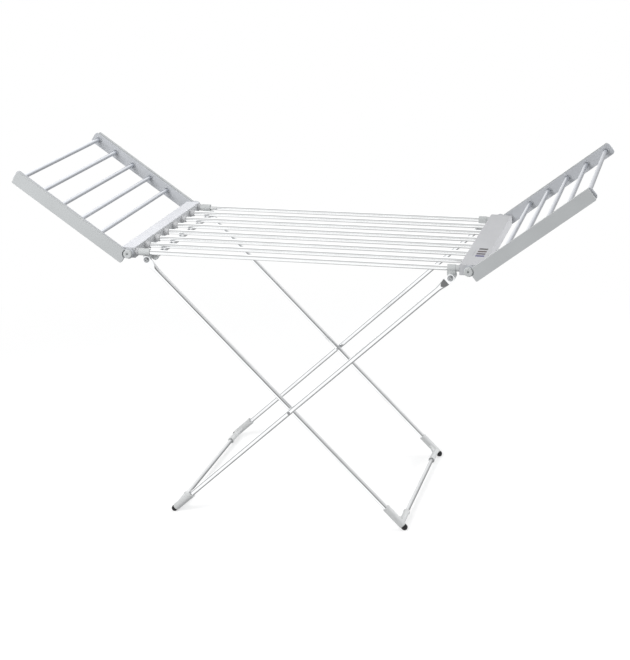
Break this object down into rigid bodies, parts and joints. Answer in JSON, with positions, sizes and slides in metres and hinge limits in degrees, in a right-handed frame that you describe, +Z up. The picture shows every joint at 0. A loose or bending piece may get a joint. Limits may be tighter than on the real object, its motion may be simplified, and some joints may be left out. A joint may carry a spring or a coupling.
{
  "type": "heated clothes airer",
  "caption": "Folding heated clothes airer with a flat rack of tubular bars, a hinged wing of rungs at each end and two crossing tube leg frames.",
  "frame": {"origin": "on the floor, under the middle of the whole airer with its wings raised", "axes": "+X along the bars towards the housing with the cord inlet, +Y to the back, +Z up"},
  "size_m": [1.3602, 0.5028, 0.8511],
  "materials": {
    "bar_aluminium": "satin drawn tube",
    "leg_aluminium": "bright drawn tube",
    "rung_aluminium": "satin drawn tube",
    "white_plastic": "fine texture",
    "control_plastic": "fine texture",
    "rail_plastic": "fine texture",
    "fitting_plastic": "smooth satin",
    "foot_rubber": "dull",
    "screw_steel": "zinc plated",
    "wire_silicone": "silicone sleeve",
    "block_nylon": "moulded nylon"
  },
  "bodies": {
    "rack": {"left_housing_cover": "white_plastic", "left_housing_plate": "white_plastic", "right_housing_cover": "control_plastic", "right_housing_plate": "control_plastic", "cord_inlet_bush": "foot_rubber", "front_bar": "bar_aluminium", "middle_bar_1": "bar_aluminium", "middle_bar_2": "bar_aluminium", "middle_bar_3": "bar_aluminium", "middle_bar_4": "bar_aluminium", "middle_bar_5": "bar_aluminium", "middle_bar_6": "bar_aluminium", "back_bar": "bar_aluminium", "fixed_bracket_front": "fitting_plastic", "fixed_bracket_back": "fitting_plastic", "outer_leg_screw_front": "screw_steel", "outer_leg_screw_back": "screw_steel", "left_wing_bolt_front": "fitting_plastic", "left_wing_bolt_back": "fitting_plastic", "right_wing_bolt_front": "fitting_plastic", "right_wing_bolt_back": "fitting_plastic", "heating_wire": "wire_silicone", "terminal_block": "block_nylon", "thermal_cutout": "block_nylon"},
    "slide": {"slide_bracket_front": "fitting_plastic", "slide_bracket_back": "fitting_plastic", "slide_tube": "bar_aluminium", "inner_leg_screw_front": "screw_steel", "inner_leg_screw_back": "screw_steel"},
    "outer_legs": {"outer_leg_front": "leg_aluminium", "outer_leg_back": "leg_aluminium", "outer_corner_front": "fitting_plastic", "outer_corner_back": "fitting_plastic", "outer_foot_front": "foot_rubber", "outer_foot_back": "foot_rubber", "outer_floor_bar": "leg_aluminium", "crossing_pin_front": "screw_steel", "crossing_pin_back": "screw_steel"},
    "inner_legs": {"inner_leg_front": "leg_aluminium", "inner_leg_back": "leg_aluminium", "inner_corner_front": "fitting_plastic", "inner_corner_back": "fitting_plastic", "inner_foot_front": "foot_rubber", "inner_foot_back": "foot_rubber", "inner_floor_bar": "leg_aluminium"},
    "left_wing": {"left_wing_rail_front": "rail_plastic", "left_wing_rail_back": "rail_plastic", "left_wing_rung_1": "rung_aluminium", "left_wing_rung_2": "rung_aluminium", "left_wing_rung_3": "rung_aluminium", "left_wing_rung_4": "rung_aluminium", "left_wing_rung_5": "rung_aluminium"},
    "right_wing": {"right_wing_rail_front": "rail_plastic", "right_wing_rail_back": "rail_plastic", "right_wing_rung_1": "rung_aluminium", "right_wing_rung_2": "rung_aluminium", "right_wing_rung_3": "rung_aluminium", "right_wing_rung_4": "rung_aluminium", "right_wing_rung_5": "rung_aluminium"}
  },
  "joints": [
    {"name": "outer_leg_fold", "type": "hinge", "parent": "rack", "child": "outer_legs", "pos_m": [0.36694, 0, 0.636], "axis": [0, 1, 0], "range_deg": [0, 40.98]},
    {"name": "slide_travel", "type": "slide", "parent": "rack", "child": "slide", "axis": [1, 0, 0], "range_m": [0, 0.699]},
    {"name": "inner_leg_fold", "type": "hinge", "parent": "slide", "child": "inner_legs", "pos_m": [-0.35906, 0, 0.636], "axis": [0, 1, 0], "range_deg": [0, 131.5]},
    {"name": "left_wing_hinge", "type": "hinge", "parent": "rack", "child": "left_wing", "pos_m": [-0.39905, 0, 0.6525], "axis": [0, 1, 0], "range_deg": [-35, 0]},
    {"name": "right_wing_hinge", "type": "hinge", "parent": "rack", "child": "right_wing", "pos_m": [0.40695, 0, 0.6525], "axis": [0, -1, 0], "range_deg": [-127.6, 0]}
  ],
  "couplings": [
    {"joint": "slide_travel", "follows": "outer_leg_fold", "m_per_rad": 0.976},
    {"joint": "inner_leg_fold", "follows": "outer_leg_fold", "ratio": 3.2055}
  ]
}
